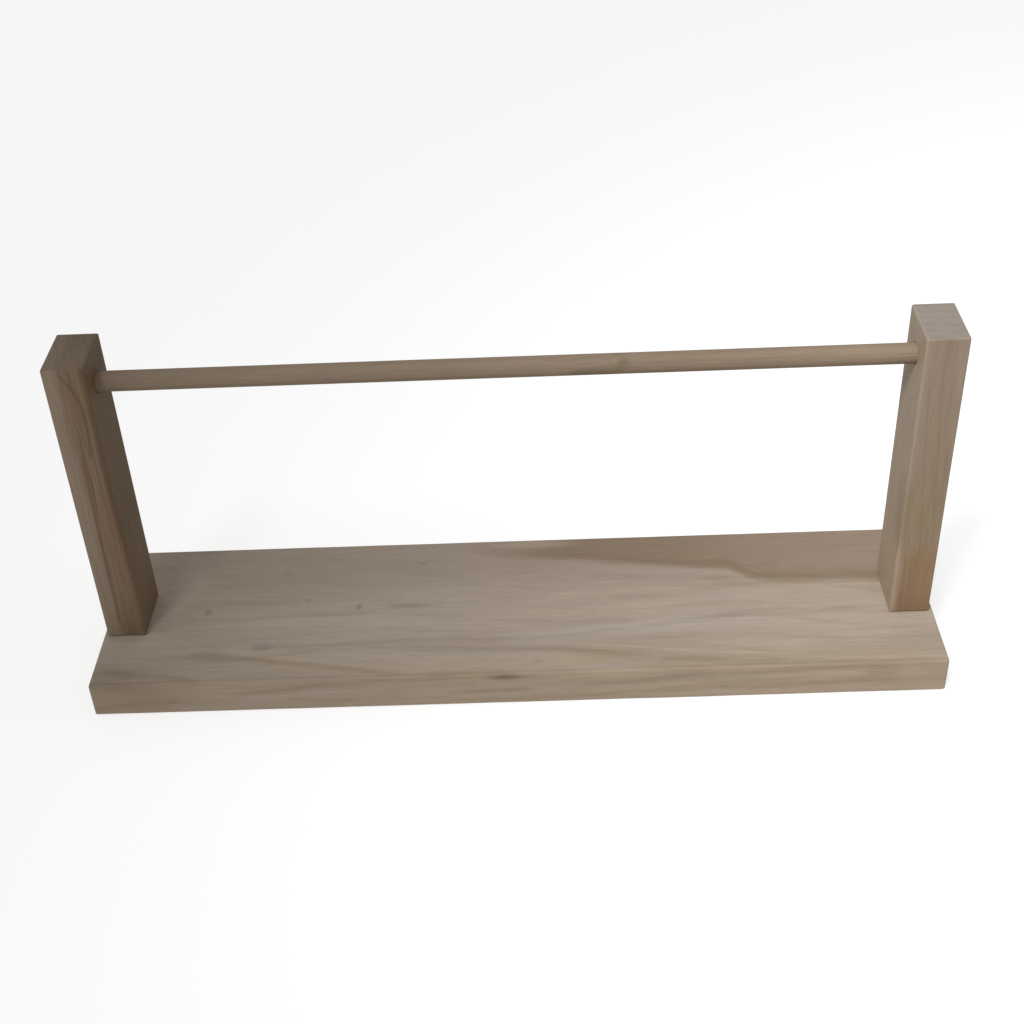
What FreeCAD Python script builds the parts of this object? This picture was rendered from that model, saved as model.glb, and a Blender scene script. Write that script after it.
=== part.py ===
import FreeCAD
import Part

import os

import Sketcher

# A ribbon spool stand: a flat base board lying on the counter, two posts standing on its ends, and a
# round rod that runs through the posts near their tops. Ribbon spools hang and turn on the rod.
# X runs along the board from left to right, Y from front to back, Z up. The origin is the middle of the
# board's underside. Lengths are in millimetres, angles in degrees.

SIZES = [
    ("base_length", 406.4, "base board, left to right"),
    ("base_depth", 103.2, "base board, front to back"),
    ("base_thickness", 19.05, "base board, underside to top"),
    ("base_edge_radius", 1.5, "sanded edge of the base board"),
    ("post_width", 19.05, "post, left to right"),
    ("post_depth", 31.75, "post, front to back"),
    ("post_height", 152.4, "post, from the board up"),
    ("post_edge_radius", 0.8, "sanded edge of a post"),
    ("post_setback", 2.4, "board's end to a post's outer face"),
    ("rod_diameter", 9.525, "spool rod"),
    ("rod_below_top", 15.875, "post's top down to the rod's axis"),
    ("rod_fit", 0.08, "gap round the rod in its bores"),
    ("rod_end_chamfer", 0.8, "broken edge at the rod's ends"),
    ("rod_end_play", 0.5, "left end of the rod to the floor of its bore"),
    ("rod_end_recess", 0.5, "right end of the rod inside the post's outer face"),
    ("left_bore_wall", 6.35, "wood that closes the outer end of the left post's bore"),
    ("screw_spacing", 15.875, "the two screws of a post, front to back"),
    ("screw_length", 38.1, "screw, head to point"),
    ("screw_shank", 4.17, "screw's shank and thread crest, across"),
    ("screw_root", 2.9, "screw's core between the threads, across"),
    ("screw_head", 8.3, "screw's head, across"),
    ("screw_head_angle", 82, "cone of the screw's head"),
    ("screw_head_rim", 0.3, "straight rim of the screw's head"),
    ("screw_sunk", 0.8, "screw's head below the board's underside"),
    ("screw_smooth", 14, "screw's head to the first thread"),
    ("screw_point", 4.5, "tapered point of the screw"),
    ("screw_point_flat", 0.5, "blunt end of the point, across"),
    ("thread_pitch", 2.8, "one thread ring to the next"),
    ("thread_foot", 1.4, "thread ring along the core"),
    ("thread_fit", 0.05, "gap round a screw in the wood it grips"),
    ("shank_fit", 0.12, "gap round a screw in the board"),
    ("drive_span", 4.6, "cross recess in a screw's head, across"),
    ("drive_slot", 1.1, "one slot of the cross recess"),
    ("drive_slot_depth", 1.6, "cross recess, depth of its slots"),
    ("drive_middle", 2.6, "middle of the cross recess, across"),
    ("drive_middle_depth", 2.9, "middle of the cross recess, depth"),
    ("drive_bottom", 1.0, "floor of the cross recess, across"),
]

doc = FreeCAD.newDocument("ribbon_spool_stand")
sheet = doc.addObject("Spreadsheet::Sheet", "sizes")
for row, (alias, size, meaning) in enumerate(SIZES, start=1):
    sheet.set(f"A{row}", meaning)
    sheet.set(f"B{row}", str(size))
    sheet.setAlias(f"B{row}", alias)
doc.recompute()

# Places that several pieces share, as expressions on the sheet.
POST_X = "(sizes.base_length / 2 - sizes.post_setback - sizes.post_width / 2)"
OUTER_FACE_X = "(sizes.base_length / 2 - sizes.post_setback)"
ROD_Z = "(sizes.base_thickness + sizes.post_height - sizes.rod_below_top)"
ROD_LEFT_X = f"(-{OUTER_FACE_X} + sizes.left_bore_wall + sizes.rod_end_play)"
ROD_RIGHT_X = f"({OUTER_FACE_X} - sizes.rod_end_recess)"
ROD_BORE = "(sizes.rod_diameter + 2 * sizes.rod_fit)"
HEAD_SLOPE = "tan(sizes.screw_head_angle / 2)"
HEAD_CONE_START = "(sizes.screw_sunk + sizes.screw_head_rim)"
HEAD_CONE_END = (
    f"(sizes.screw_head_rim + (sizes.screw_head - sizes.screw_shank) / 2 / {HEAD_SLOPE})"
)


def value(expression):
    """The number that an expression on the sheet comes to."""
    return float(sheet.evalExpression(expression))


def bind(thing, **expressions):
    """Ties properties of an object to expressions on the sheet."""
    for name, expression in expressions.items():
        thing.setExpression(name, expression)


def place(thing, x="0", y="0", z="0"):
    """Puts an object where three expressions say."""
    for axis, expression in zip("xyz", (x, y, z)):
        thing.setExpression(f"Placement.Base.{axis}", expression)


def new_body(name):
    body = doc.addObject("PartDesign::Body", name)
    body.Label = name
    return body


def origin_feature(body, role):
    """One of a body's own origin planes or axes."""
    return next(f for f in body.Origin.OriginFeatures if f.Role == role)


def new_sketch(body, name, plane, offset="0"):
    sketch = body.newObject("Sketcher::SketchObject", name)
    sketch.AttachmentSupport = (origin_feature(body, plane), [""])
    sketch.MapMode = "FlatFace"
    sketch.setExpression("AttachmentOffset.Base.z", offset)
    return sketch


def hold(sketch, kind, place_of, expression):
    """Adds one dimension to a sketch and ties it to an expression."""
    index = sketch.addConstraint(Sketcher.Constraint(kind, *place_of, value(expression)))
    sketch.setExpression(f"Constraints[{index}]", expression)


def add_outline(sketch, corners):
    """A closed outline of straight sides; each corner is two expressions."""
    first = sketch.GeometryCount
    count = len(corners)
    points = [FreeCAD.Vector(value(x), value(y), 0) for x, y in corners]
    for start, end in zip(points, points[1:] + points[:1]):
        sketch.addGeometry(Part.LineSegment(start, end))
    for side in range(count):
        joined = (first + side, 2, first + (side + 1) % count, 1)
        sketch.addConstraint(Sketcher.Constraint("Coincident", *joined))
    for side, (x, y) in enumerate(corners):
        hold(sketch, "DistanceX", (-1, 1, first + side, 1), x)
        hold(sketch, "DistanceY", (-1, 1, first + side, 1), y)


def add_rectangle(sketch, width, depth):
    """A rectangle about the sketch's origin."""
    right, back = f"{width} / 2", f"{depth} / 2"
    left, front = f"-{width} / 2", f"-{depth} / 2"
    add_outline(sketch, [(left, front), (right, front), (right, back), (left, back)])


def add_circle(sketch, x, y, diameter):
    centre = FreeCAD.Vector(value(x), value(y), 0)
    normal = FreeCAD.Vector(0, 0, 1)
    index = sketch.addGeometry(Part.Circle(centre, normal, value(diameter) / 2))
    hold(sketch, "DistanceX", (-1, 1, index, 3), x)
    hold(sketch, "DistanceY", (-1, 1, index, 3), y)
    hold(sketch, "Diameter", (index,), diameter)


def every_edge(feature):
    return [f"Edge{n}" for n in range(1, len(feature.Shape.Edges) + 1)]


def block(body, width, depth, thickness, edge_radius):
    """A sawn and sanded block standing on the body's XY plane."""
    section = new_sketch(body, f"{body.Name}_section", "XY_Plane")
    add_rectangle(section, width, depth)
    pad = body.newObject("PartDesign::Pad", f"{body.Name}_block")
    pad.Profile = section
    bind(pad, Length=thickness)
    doc.recompute()
    eased = body.newObject("PartDesign::Fillet", f"{body.Name}_eased")
    eased.Base = (pad, every_edge(pad))
    bind(eased, Radius=edge_radius)
    doc.recompute()


def revolve(body, name, corners):
    """Turns an outline of (radius, height) corners about the body's Z axis."""
    outline = new_sketch(body, f"{name}_outline", "XZ_Plane")
    add_outline(outline, corners)
    turned = body.newObject("PartDesign::Revolution", name)
    turned.Profile = outline
    turned.ReferenceAxis = (outline, ["V_Axis"])
    turned.Angle = 360
    doc.recompute()
    return turned


def make_base_board():
    """The board, with a countersunk way for each screw drilled up from its underside."""
    body = new_body("base_board")
    block(body, "sizes.base_length", "sizes.base_depth", "sizes.base_thickness", "sizes.base_edge_radius")
    centres = new_sketch(body, "base_board_screw_centres", "XY_Plane")
    for x, y in screw_places():
        add_circle(centres, x, y, "sizes.screw_shank")
    doc.recompute()
    holes = body.newObject("PartDesign::Hole", "base_board_screw_holes")
    holes.Profile = centres
    doc.recompute()
    holes.DepthType = "ThroughAll"
    holes.Reversed = True
    holes.Threaded = False
    holes.HoleCutType = "Countersink"
    bind(
        holes,
        Diameter="sizes.screw_shank + 2 * sizes.shank_fit",
        HoleCutDiameter=f"sizes.screw_head + 2 * sizes.thread_fit + 2 * {HEAD_CONE_START} * {HEAD_SLOPE}",
        HoleCutCountersinkAngle="sizes.screw_head_angle",
    )
    doc.recompute()
    return body


def screw_places():
    """Each screw's place on the board: x and y, left post first, front screw first."""
    half = "sizes.screw_spacing / 2"
    return [(x, y) for x in (f"-{POST_X}", POST_X) for y in (f"-{half}", half)]


def make_screw(name, x, y, gap="0"):
    """A countersunk wood screw, head down; with a gap round it, the way that it cuts in the wood."""
    head = f"sizes.screw_head / 2 + {gap}"
    shank = f"sizes.screw_shank / 2 + {gap}"
    root = f"sizes.screw_root / 2 + {gap}"
    tip = f"sizes.screw_point_flat / 2 + {gap}"
    tip_height = f"sizes.screw_length + {gap}"
    body = new_body(name)
    revolve(
        body,
        f"{name}_core",
        [
            ("0", "0"),
            (head, "0"),
            (head, "sizes.screw_head_rim"),
            (shank, HEAD_CONE_END),
            (shank, "sizes.screw_smooth - sizes.thread_foot / 2"),
            (root, "sizes.screw_smooth"),
            (root, "sizes.screw_length - sizes.screw_point"),
            (tip, tip_height),
            ("0", tip_height),
        ],
    )
    ring_end = "sizes.screw_smooth + sizes.thread_foot"
    ring = revolve(
        body,
        f"{name}_ring",
        [
            ("0", "sizes.screw_smooth"),
            (root, "sizes.screw_smooth"),
            (shank, "sizes.screw_smooth + sizes.thread_foot / 2"),
            (root, ring_end),
            ("0", ring_end),
        ],
    )
    thread = body.newObject("PartDesign::LinearPattern", f"{name}_thread")
    thread.Originals = [ring]
    thread.Direction = (origin_feature(body, "Z_Axis"), [""])
    room = "(sizes.screw_length - sizes.screw_point - sizes.screw_smooth - sizes.thread_foot)"
    steps = f"floor({room} / sizes.thread_pitch)"
    bind(thread, Occurrences=f"{steps} + 1", Length=f"{steps} * sizes.thread_pitch")
    body.Tip = thread
    doc.recompute()
    place(body, x, y, "sizes.screw_sunk")
    return body


def cut_drive(screw):
    """The cross recess in a screw's head."""
    slots = [("sizes.drive_span", "sizes.drive_slot"), ("sizes.drive_slot", "sizes.drive_span")]
    for number, (width, depth) in enumerate(slots, start=1):
        outline = new_sketch(screw, f"{screw.Name}_slot_outline_{number}", "XY_Plane")
        add_rectangle(outline, width, depth)
        slot = screw.newObject("PartDesign::Pocket", f"{screw.Name}_slot_{number}")
        slot.Profile = outline
        slot.Reversed = True
        bind(slot, Length="sizes.drive_slot_depth")
        doc.recompute()
    middle = screw.newObject("PartDesign::SubtractiveCone", f"{screw.Name}_drive_middle")
    bind(
        middle,
        Radius1="sizes.drive_middle / 2",
        Radius2="sizes.drive_bottom / 2",
        Height="sizes.drive_middle_depth",
    )
    doc.recompute()


def make_post(name, x, inner_face, bore_depth, screw_ways):
    """A post, bored from its inner face for the rod, and cut from below by its two screws."""
    body = new_body(f"{name}_blank")
    block(body, "sizes.post_width", "sizes.post_depth", "sizes.post_height", "sizes.post_edge_radius")
    outline = new_sketch(body, f"{name}_bore_outline", "YZ_Plane", inner_face)
    add_circle(outline, "0", "sizes.post_height - sizes.rod_below_top", ROD_BORE)
    bore = body.newObject("PartDesign::Pocket", f"{name}_bore")
    bore.Profile = outline
    bore.Reversed = value(inner_face) < 0
    bind(bore, Length=bore_depth)
    place(body, x, z="sizes.base_thickness")
    doc.recompute()
    ways = doc.addObject("Part::MultiFuse", f"{name}_screw_ways")
    ways.Shapes = screw_ways
    post = doc.addObject("Part::Cut", name)
    post.Label = name
    post.Base = body
    post.Tool = ways
    doc.recompute()
    return post


def make_rod():
    """The rod, as long as from the floor of the left bore to the right post's outer face."""
    body = new_body("spool_rod")
    outline = new_sketch(body, "spool_rod_outline", "YZ_Plane")
    add_circle(outline, "0", "0", "sizes.rod_diameter")
    pad = body.newObject("PartDesign::Pad", "spool_rod_dowel")
    pad.Profile = outline
    bind(pad, Length=f"{ROD_RIGHT_X} - {ROD_LEFT_X}")
    doc.recompute()
    ends = [f"Edge{n}" for n, edge in enumerate(pad.Shape.Edges, start=1) if edge.Closed]
    broken = body.newObject("PartDesign::Chamfer", "spool_rod_ends")
    broken.Base = (pad, ends)
    bind(broken, Size="sizes.rod_end_chamfer")
    place(body, ROD_LEFT_X, z=ROD_Z)
    doc.recompute()
    return body


SCREW_NAMES = ["left_front_screw", "left_back_screw", "right_front_screw", "right_back_screw"]

base_board = make_base_board()
screws = [make_screw(name, x, y) for name, (x, y) in zip(SCREW_NAMES, screw_places())]
for screw in screws:
    cut_drive(screw)
ways = [
    make_screw(f"{name}_way", x, y, "sizes.thread_fit")
    for name, (x, y) in zip(SCREW_NAMES, screw_places())
]
left_bore = "sizes.post_width - sizes.left_bore_wall"
left_post = make_post("left_post", f"-{POST_X}", "sizes.post_width / 2", left_bore, ways[:2])
right_post = make_post("right_post", POST_X, "-sizes.post_width / 2", "sizes.post_width", ways[2:])
spool_rod = make_rod()
doc.recompute()

failed = [thing.Name for thing in doc.Objects if {"Invalid", "Error"} & set(thing.State)]
if failed:
    raise RuntimeError(f"these objects failed: {failed}")

pieces = [base_board, left_post, right_post, spool_rod, *screws]
for piece in pieces:
    if piece.Shape.isNull() or not piece.Shape.isValid() or len(piece.Shape.Solids) != 1:
        raise RuntimeError(f"{piece.Label} isn't one valid solid")

os.makedirs("parts", exist_ok=True)
for piece in pieces:
    piece.Shape.exportStep(f"parts/{piece.Label}.step")
    box = piece.Shape.BoundBox
    print(
        f"{piece.Label}: {box.XMin:.3f} {box.XMax:.3f}, {box.YMin:.3f} {box.YMax:.3f},"
        f" {box.ZMin:.3f} {box.ZMax:.3f}, volume {piece.Shape.Volume:.1f}"
    )
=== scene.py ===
import math

import bmesh
import bpy
from mathutils import Matrix, Vector


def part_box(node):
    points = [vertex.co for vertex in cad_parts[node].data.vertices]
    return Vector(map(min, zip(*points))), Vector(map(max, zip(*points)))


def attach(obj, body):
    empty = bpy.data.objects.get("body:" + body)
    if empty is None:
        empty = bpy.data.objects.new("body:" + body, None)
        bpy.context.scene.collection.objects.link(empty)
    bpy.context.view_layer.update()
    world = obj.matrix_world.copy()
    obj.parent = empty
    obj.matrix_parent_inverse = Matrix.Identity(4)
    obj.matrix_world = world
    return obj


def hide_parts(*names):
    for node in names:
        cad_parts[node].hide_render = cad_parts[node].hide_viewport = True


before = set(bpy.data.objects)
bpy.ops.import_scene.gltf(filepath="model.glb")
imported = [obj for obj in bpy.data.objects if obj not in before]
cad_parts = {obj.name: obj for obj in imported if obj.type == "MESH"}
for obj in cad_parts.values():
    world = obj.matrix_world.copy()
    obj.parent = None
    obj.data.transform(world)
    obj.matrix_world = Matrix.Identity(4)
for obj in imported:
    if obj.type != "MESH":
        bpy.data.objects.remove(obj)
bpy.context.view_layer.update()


# ---- Base board ----------------------------------------------------------------------------
# One flat board of plain-sawn poplar, sanded and left bare, with a patch of brown heartwood
# along its back edge. Its edges are broken by hand with sandpaper, and four countersunk
# holes are drilled up from its underside for the screws that hold the posts.

MM = 0.001
BOARD_EDGE = 1.5 * MM
BOARD_WANDER = 0.7
BOARD_CELL = 9 * MM
BLANK_GUARD = 0.25 * MM
BLANK_ARC_CELLS = 4
BLANK_SHARP = math.radians(32)
EDGE_WANDER_SCALE = 32

SCREW_ROWS = (-191.275 * MM, 191.275 * MM)
SCREW_LINES = (-7.9375 * MM, 7.9375 * MM)
HEAD_SLOPE = math.tan(math.radians(41))
HOLE_RADIUS = 2.205 * MM
HOLE_END = 24 * MM
COUNTERSINK_RADIUS = 4.2 * MM
COUNTERSINK_STRAIGHT = 1.1 * MM
RUN_OUT = 2 * MM

PIN_KNOTS = ((49.4, 51.6), (98.9, 44.7), (124.9, 50.7))
PIN_RADIUS = 0.55 * MM
PIN_DEPTH = 0.35 * MM
PIN_FLARE = 0.3 * MM


def wire(tree, kind, *values, **settings):
    """Adds a node. A socket, or a node's first output, is linked to its input; a number is set."""
    node = tree.nodes.new(kind)
    for key, value in settings.items():
        setattr(node, key, value)
    for socket, value in zip(node.inputs, values):
        if isinstance(value, bpy.types.Node):
            value = value.outputs[0]
        if isinstance(value, bpy.types.NodeSocket):
            tree.links.new(value, socket)
        elif value is not None:
            socket.default_value = value
    return node


def calc(tree, operation, *values):
    """The result of one sum."""
    return wire(tree, "ShaderNodeMath", *values, operation=operation).outputs[0]


def vector_calc(tree, operation, *values):
    """The result of one vector sum: a number for a length or a dot product."""
    node = wire(tree, "ShaderNodeVectorMath", *values, operation=operation)
    return node.outputs["Value" if operation in ("LENGTH", "DOT_PRODUCT") else "Vector"]


def product(tree, *values):
    """Values multiplied one after another."""
    result = values[0]
    for value in values[1:]:
        result = calc(tree, "MULTIPLY", result, value)
    return result


def span(tree, value, start, end, low=0.0, high=1.0, smooth=False):
    """A value carried from one range to another and held at its ends, straight or in a soft S."""
    return wire(
        tree, "ShaderNodeMapRange", value, start, end, low, high,
        interpolation_type="SMOOTHSTEP" if smooth else "LINEAR", clamp=not smooth,
    ).outputs[0]


def rise(tree, value, start, end, top=1.0):
    """A soft step up from 0."""
    return span(tree, value, start, end, 0.0, top, True)


def fall(tree, value, start, end):
    """A soft step down from 1 to 0."""
    return span(tree, value, start, end, 1.0, 0.0, True)


def geometry_tree(name, sockets):
    """A new geometry tree with its named inputs, and the node that takes its result."""
    tree = bpy.data.node_groups.new(name, "GeometryNodeTree")
    for label, kind in sockets:
        tree.interface.new_socket(label, in_out="INPUT", socket_type="NodeSocket" + kind)
    tree.interface.new_socket("Geometry", in_out="OUTPUT", socket_type="NodeSocketGeometry")
    given = tree.nodes.new("NodeGroupInput")
    result = tree.nodes.new("NodeGroupOutput")
    return tree, {socket.name: socket for socket in given.outputs}, result


def placed(name, data):
    """A new object in the scene."""
    thing = bpy.data.objects.new(name, data)
    bpy.context.scene.collection.objects.link(thing)
    return thing


def grown(name, tree, sizes):
    """Runs a geometry tree once and keeps what it makes as a plain mesh."""
    piece = placed(name, bpy.data.meshes.new(name))
    modifier = piece.modifiers.new(name, "NODES")
    modifier.node_group = tree
    for item in tree.interface.items_tree:
        if item.in_out == "INPUT":
            modifier[item.identifier] = sizes[item.name]
    graph = bpy.context.evaluated_depsgraph_get()
    made = bpy.data.meshes.new_from_object(
        piece.evaluated_get(graph), preserve_all_data_layers=True, depsgraph=graph
    )
    piece.modifiers.remove(modifier)
    while made.materials[0] is None:
        made.materials.pop(index=0)
    piece.data = made
    made.name = name
    return piece


def creased(tree, shape):
    """Smooth faces, with sharp edges where they fold."""
    soft = wire(tree, "GeometryNodeSetShadeSmooth", shape, True, True, domain="FACE")
    angle = tree.nodes.new("GeometryNodeInputMeshEdgeAngle").outputs["Unsigned Angle"]
    sharp = calc(tree, "GREATER_THAN", angle, BLANK_SHARP)
    return wire(tree, "GeometryNodeSetShadeSmooth", soft, sharp, False, domain="EDGE")


def finish_tree(tree, shape, finish, result):
    """Ends a tree with one plain mesh in its finish."""
    single = wire(tree, "GeometryNodeRealizeInstances", shape)
    finished = wire(tree, "GeometryNodeSetMaterial", single, True, finish)
    tree.links.new(finished.outputs[0], result.inputs[0])


def planed_blank_tree():
    """A squared piece of wood: rounded edges that a hand sanded a little unevenly, and bored holes."""
    tree, given, result = geometry_tree("planed_blank", (
        ("Size", "Vector"),
        ("Centre", "Vector"),
        ("Edge radius", "Float"),
        ("Edge wander", "Float"),
        ("Cell", "Float"),
        ("Seed", "Float"),
        ("Bores", "Object"),
        ("Finish", "Material"),
    ))
    half_size = vector_calc(tree, "MULTIPLY", given["Size"], (0.5, 0.5, 0.5))
    halves = wire(tree, "ShaderNodeSeparateXYZ", half_size).outputs
    here = wire(tree, "GeometryNodeInputPosition")
    shares = wire(tree, "ShaderNodeSeparateXYZ", here).outputs
    rough_place = vector_calc(tree, "MULTIPLY", here, half_size)
    unevenness = wire(
        tree, "ShaderNodeTexNoise", rough_place, given["Seed"], EDGE_WANDER_SCALE, 2.0,
        noise_dimensions="4D",
    )
    swing = product(tree, calc(tree, "SUBTRACT", unevenness, 0.5), given["Edge wander"])
    radius = product(tree, given["Edge radius"], calc(tree, "ADD", swing, 1.0))
    counts, flats, leans, bends = [], [], [], []
    for half, share in zip(halves, shares):
        cells = calc(tree, "MAXIMUM", calc(tree, "ROUND", calc(tree, "DIVIDE", half, given["Cell"])), 1.0)
        total = calc(tree, "ADD", cells, float(BLANK_ARC_CELLS + 1))
        counts.append(calc(tree, "MULTIPLY_ADD", total, 2.0, 1.0))
        flat_end = calc(tree, "DIVIDE", cells, total)
        arc_start = calc(tree, "DIVIDE", calc(tree, "ADD", cells, 1.0), total)
        inner = calc(tree, "SUBTRACT", half, calc(tree, "ADD", radius, BLANK_GUARD))
        reach = calc(tree, "ABSOLUTE", share)
        side = calc(tree, "SIGN", share)
        flat = span(tree, reach, 0.0, flat_end, 0.0, inner)
        guard = span(tree, reach, flat_end, arc_start, 0.0, BLANK_GUARD)
        bend = calc(tree, "TANGENT", span(tree, reach, arc_start, 1.0, 0.0, math.pi / 4))
        bends.append(bend)
        flats.append(product(tree, side, calc(tree, "ADD", flat, guard)))
        leans.append(product(tree, side, bend))
    cube = wire(tree, "GeometryNodeMeshCube", (2.0, 2.0, 2.0), *counts)
    core = wire(tree, "ShaderNodeCombineXYZ", *flats)
    lean = vector_calc(tree, "NORMALIZE", wire(tree, "ShaderNodeCombineXYZ", *leans))
    crust = vector_calc(tree, "SCALE", lean, None, None, radius)
    place = vector_calc(tree, "ADD", vector_calc(tree, "ADD", core, crust), given["Centre"])
    worn = calc(
        tree, "MULTIPLY_ADD", bends[2], calc(tree, "ADD", bends[0], bends[1]), product(tree, *bends[:2]),
    )
    marked = wire(tree, "GeometryNodeStoreNamedAttribute", cube, True, "worn", worn, domain="POINT")
    shaped = wire(tree, "GeometryNodeSetPosition", marked, True, place)
    tools = wire(tree, "GeometryNodeObjectInfo", given["Bores"])
    bored = wire(
        tree, "GeometryNodeMeshBoolean", shaped, tools.outputs["Geometry"],
        operation="DIFFERENCE", solver="EXACT",
    )
    finish_tree(tree, creased(tree, bored), given["Finish"], result)
    return tree


def turned(shape, profile, place, steps=40):
    """Adds a solid turned on a lathe: profile is (height, radius) from end to end, place its frame."""
    rings = []
    for height, radius in profile:
        count = steps if radius > 0 else 1
        turn = 2 * math.pi / count
        spots = [(radius * math.cos(i * turn), radius * math.sin(i * turn), height) for i in range(count)]
        rings.append([shape.verts.new(place @ Vector(spot)) for spot in spots])
    for low, high in zip(rings, rings[1:]):
        for i in range(steps):
            around = ((low, i), (low, i + 1), (high, i + 1), (high, i))
            corners = [ring[k % len(ring)] for ring, k in around]
            shape.faces.new(list(dict.fromkeys(corners)))


def cutter(name, cuts):
    """One object of all the shapes that a piece's tools cut away."""
    shape = bmesh.new()
    for profile, place in cuts:
        turned(shape, profile, place)
    bmesh.ops.recalc_face_normals(shape, faces=shape.faces)
    mesh = bpy.data.meshes.new(name)
    shape.to_mesh(mesh)
    shape.free()
    return placed(name, mesh)


def planed(name, node, edge, wander, cell, seed, cuts, finish):
    """A blank of the node's own size and place, with its holes cut."""
    low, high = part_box(node)
    tool = cutter(name + "_cuts", cuts)
    bpy.context.view_layer.update()
    piece = grown(name, BLANK_TREE, {
        "Size": high - low,
        "Centre": (low + high) / 2,
        "Edge radius": edge,
        "Edge wander": wander,
        "Cell": cell,
        "Seed": seed,
        "Bores": tool,
        "Finish": finish,
    })
    bpy.data.objects.remove(tool)
    return piece


# Poplar: pale, close and plain, with faint growth rings about a far-off pith, fine long
# fibres, short pores and here and there a darker mineral streak. Patterns are in
# millimetres, and the first pattern axis runs with the grain.

TO_MM = 1000.0
DRIFT_CLOUDS = (150.0, 17.0, 17.0)
SWAY_CLOUDS = (190.0, 60.0, 60.0)
RING_PATCHES = (45.0, 9.0, 9.0)
RING_PROFILE = ((0.0, 0.0), (0.62, 0.16), (0.9, 1.0), (0.965, 0.85), (1.0, 0.0))
RING_DEPTH = 0.34
STREAKS = (120.0, 2.6, 2.6)
STREAK_DEPTH = 0.3
FIBRES = (13.0, 0.7, 0.7)
PORES = (2.6, 0.26, 0.26)
PORE_DEPTH = 0.32
SANDING_MARKS = (0.5, 5.0, 5.0)
SAW_MARKS = (8.0, 40.0, 0.9)
END_DEPTH = 0.6
END_RING_DEPTH = 0.24
WORN_DEPTH = 0.1


def noise(tree, place, size, detail, seed):
    """Cloudy noise from 0 to 1, with clouds of the given size along and across the grain."""
    scaled = vector_calc(tree, "MULTIPLY", place, tuple(1 / s for s in size))
    return wire(
        tree, "ShaderNodeTexNoise", scaled, seed, 1.0, detail, 0.55, noise_dimensions="4D",
    ).outputs[0]


def strayed(tree, base, wave, reach):
    """A measure that a noise pushes to and fro, by half its reach each way."""
    return calc(tree, "MULTIPLY_ADD", calc(tree, "SUBTRACT", wave, 0.5), reach, base)


def tint(tree, amount, under, over):
    """One colour laid over another."""
    mixed = tree.nodes.new("ShaderNodeMix")
    mixed.data_type = "RGBA"
    for socket, value in zip((mixed.inputs[0], mixed.inputs[6], mixed.inputs[7]), (amount, under, over)):
        if isinstance(value, bpy.types.NodeSocket):
            tree.links.new(value, socket)
        else:
            socket.default_value = value if isinstance(value, float) else (*value, 1.0)
    return mixed.outputs[2]


def curve(tree, value, points):
    """A smooth curve through the points, both ways from 0 to 1."""
    node = wire(tree, "ShaderNodeFloatCurve", 1.0, value)
    line = node.mapping.curves[0]
    line.points[0].location = points[0]
    line.points[1].location = points[-1]
    for point in points[1:-1]:
        line.points.new(*point)
    node.mapping.extend = "HORIZONTAL"
    node.mapping.update()
    return node.outputs[0]


def poplar(name, turn, shift, pith, ring_width, ring_sway, pale, deep, line, seed):
    """The solid figure of one stick of poplar: its material, and what a piece's own marks need."""
    material = bpy.data.materials.new(name)
    material.use_nodes = True
    tree = material.node_tree
    coordinates = tree.nodes.new("ShaderNodeTexCoord")
    place = wire(
        tree, "ShaderNodeMapping", coordinates.outputs["Object"], shift, turn, (TO_MM, TO_MM, TO_MM)
    ).outputs[0]
    facing = wire(
        tree, "ShaderNodeMapping", coordinates.outputs["Normal"], None, turn, vector_type="NORMAL",
    )
    along_face = vector_calc(tree, "DOT_PRODUCT", facing.outputs[0], (1.0, 0.0, 0.0))
    end = span(tree, calc(tree, "ABSOLUTE", along_face), 0.7, 0.95)

    drift = noise(tree, place, DRIFT_CLOUDS, 2.0, seed)
    sway = noise(tree, place, SWAY_CLOUDS, 1.0, seed + 3.1)
    from_pith = vector_calc(tree, "MULTIPLY", vector_calc(tree, "SUBTRACT", place, pith), (0.0, 1.0, 1.0))
    distance = vector_calc(tree, "LENGTH", from_pith)
    years = calc(tree, "DIVIDE", strayed(tree, distance, sway, ring_sway), ring_width)
    ring = curve(tree, calc(tree, "FRACT", years), RING_PROFILE)
    chance = wire(
        tree, "ShaderNodeTexWhiteNoise", None, calc(tree, "FLOOR", years), noise_dimensions="1D"
    ).outputs[0]
    patchy = span(tree, noise(tree, place, RING_PATCHES, 1.0, seed + 1.7), 0.35, 0.65, 0.25, 1.0)
    strength = product(tree, calc(tree, "MULTIPLY_ADD", chance, 0.75, 0.25), patchy)
    ring = product(tree, ring, strength)
    fibre = noise(tree, place, FIBRES, 3.0, seed + 5.3)
    pores = span(tree, noise(tree, place, PORES, 1.0, seed + 8.9), 0.6, 0.74)
    streaks = span(tree, noise(tree, place, STREAKS, 1.0, seed + 7.7), 0.62, 0.78)

    colour = tint(tree, span(tree, drift, 0.34, 0.66), pale, deep)
    colour = tint(tree, product(tree, ring, RING_DEPTH), colour, line)
    colour = tint(tree, product(tree, streaks, STREAK_DEPTH), colour, line)
    return {
        "material": material, "tree": tree, "object": coordinates.outputs["Object"],
        "place": place, "end": end, "ring": ring, "fibre": fibre, "pores": pores,
        "colour": colour, "seed": seed,
    }


def stain(wood, amount, colour):
    """Lays a colour over a piece's own."""
    wood["colour"] = tint(wood["tree"], amount, wood["colour"], colour)


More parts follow.
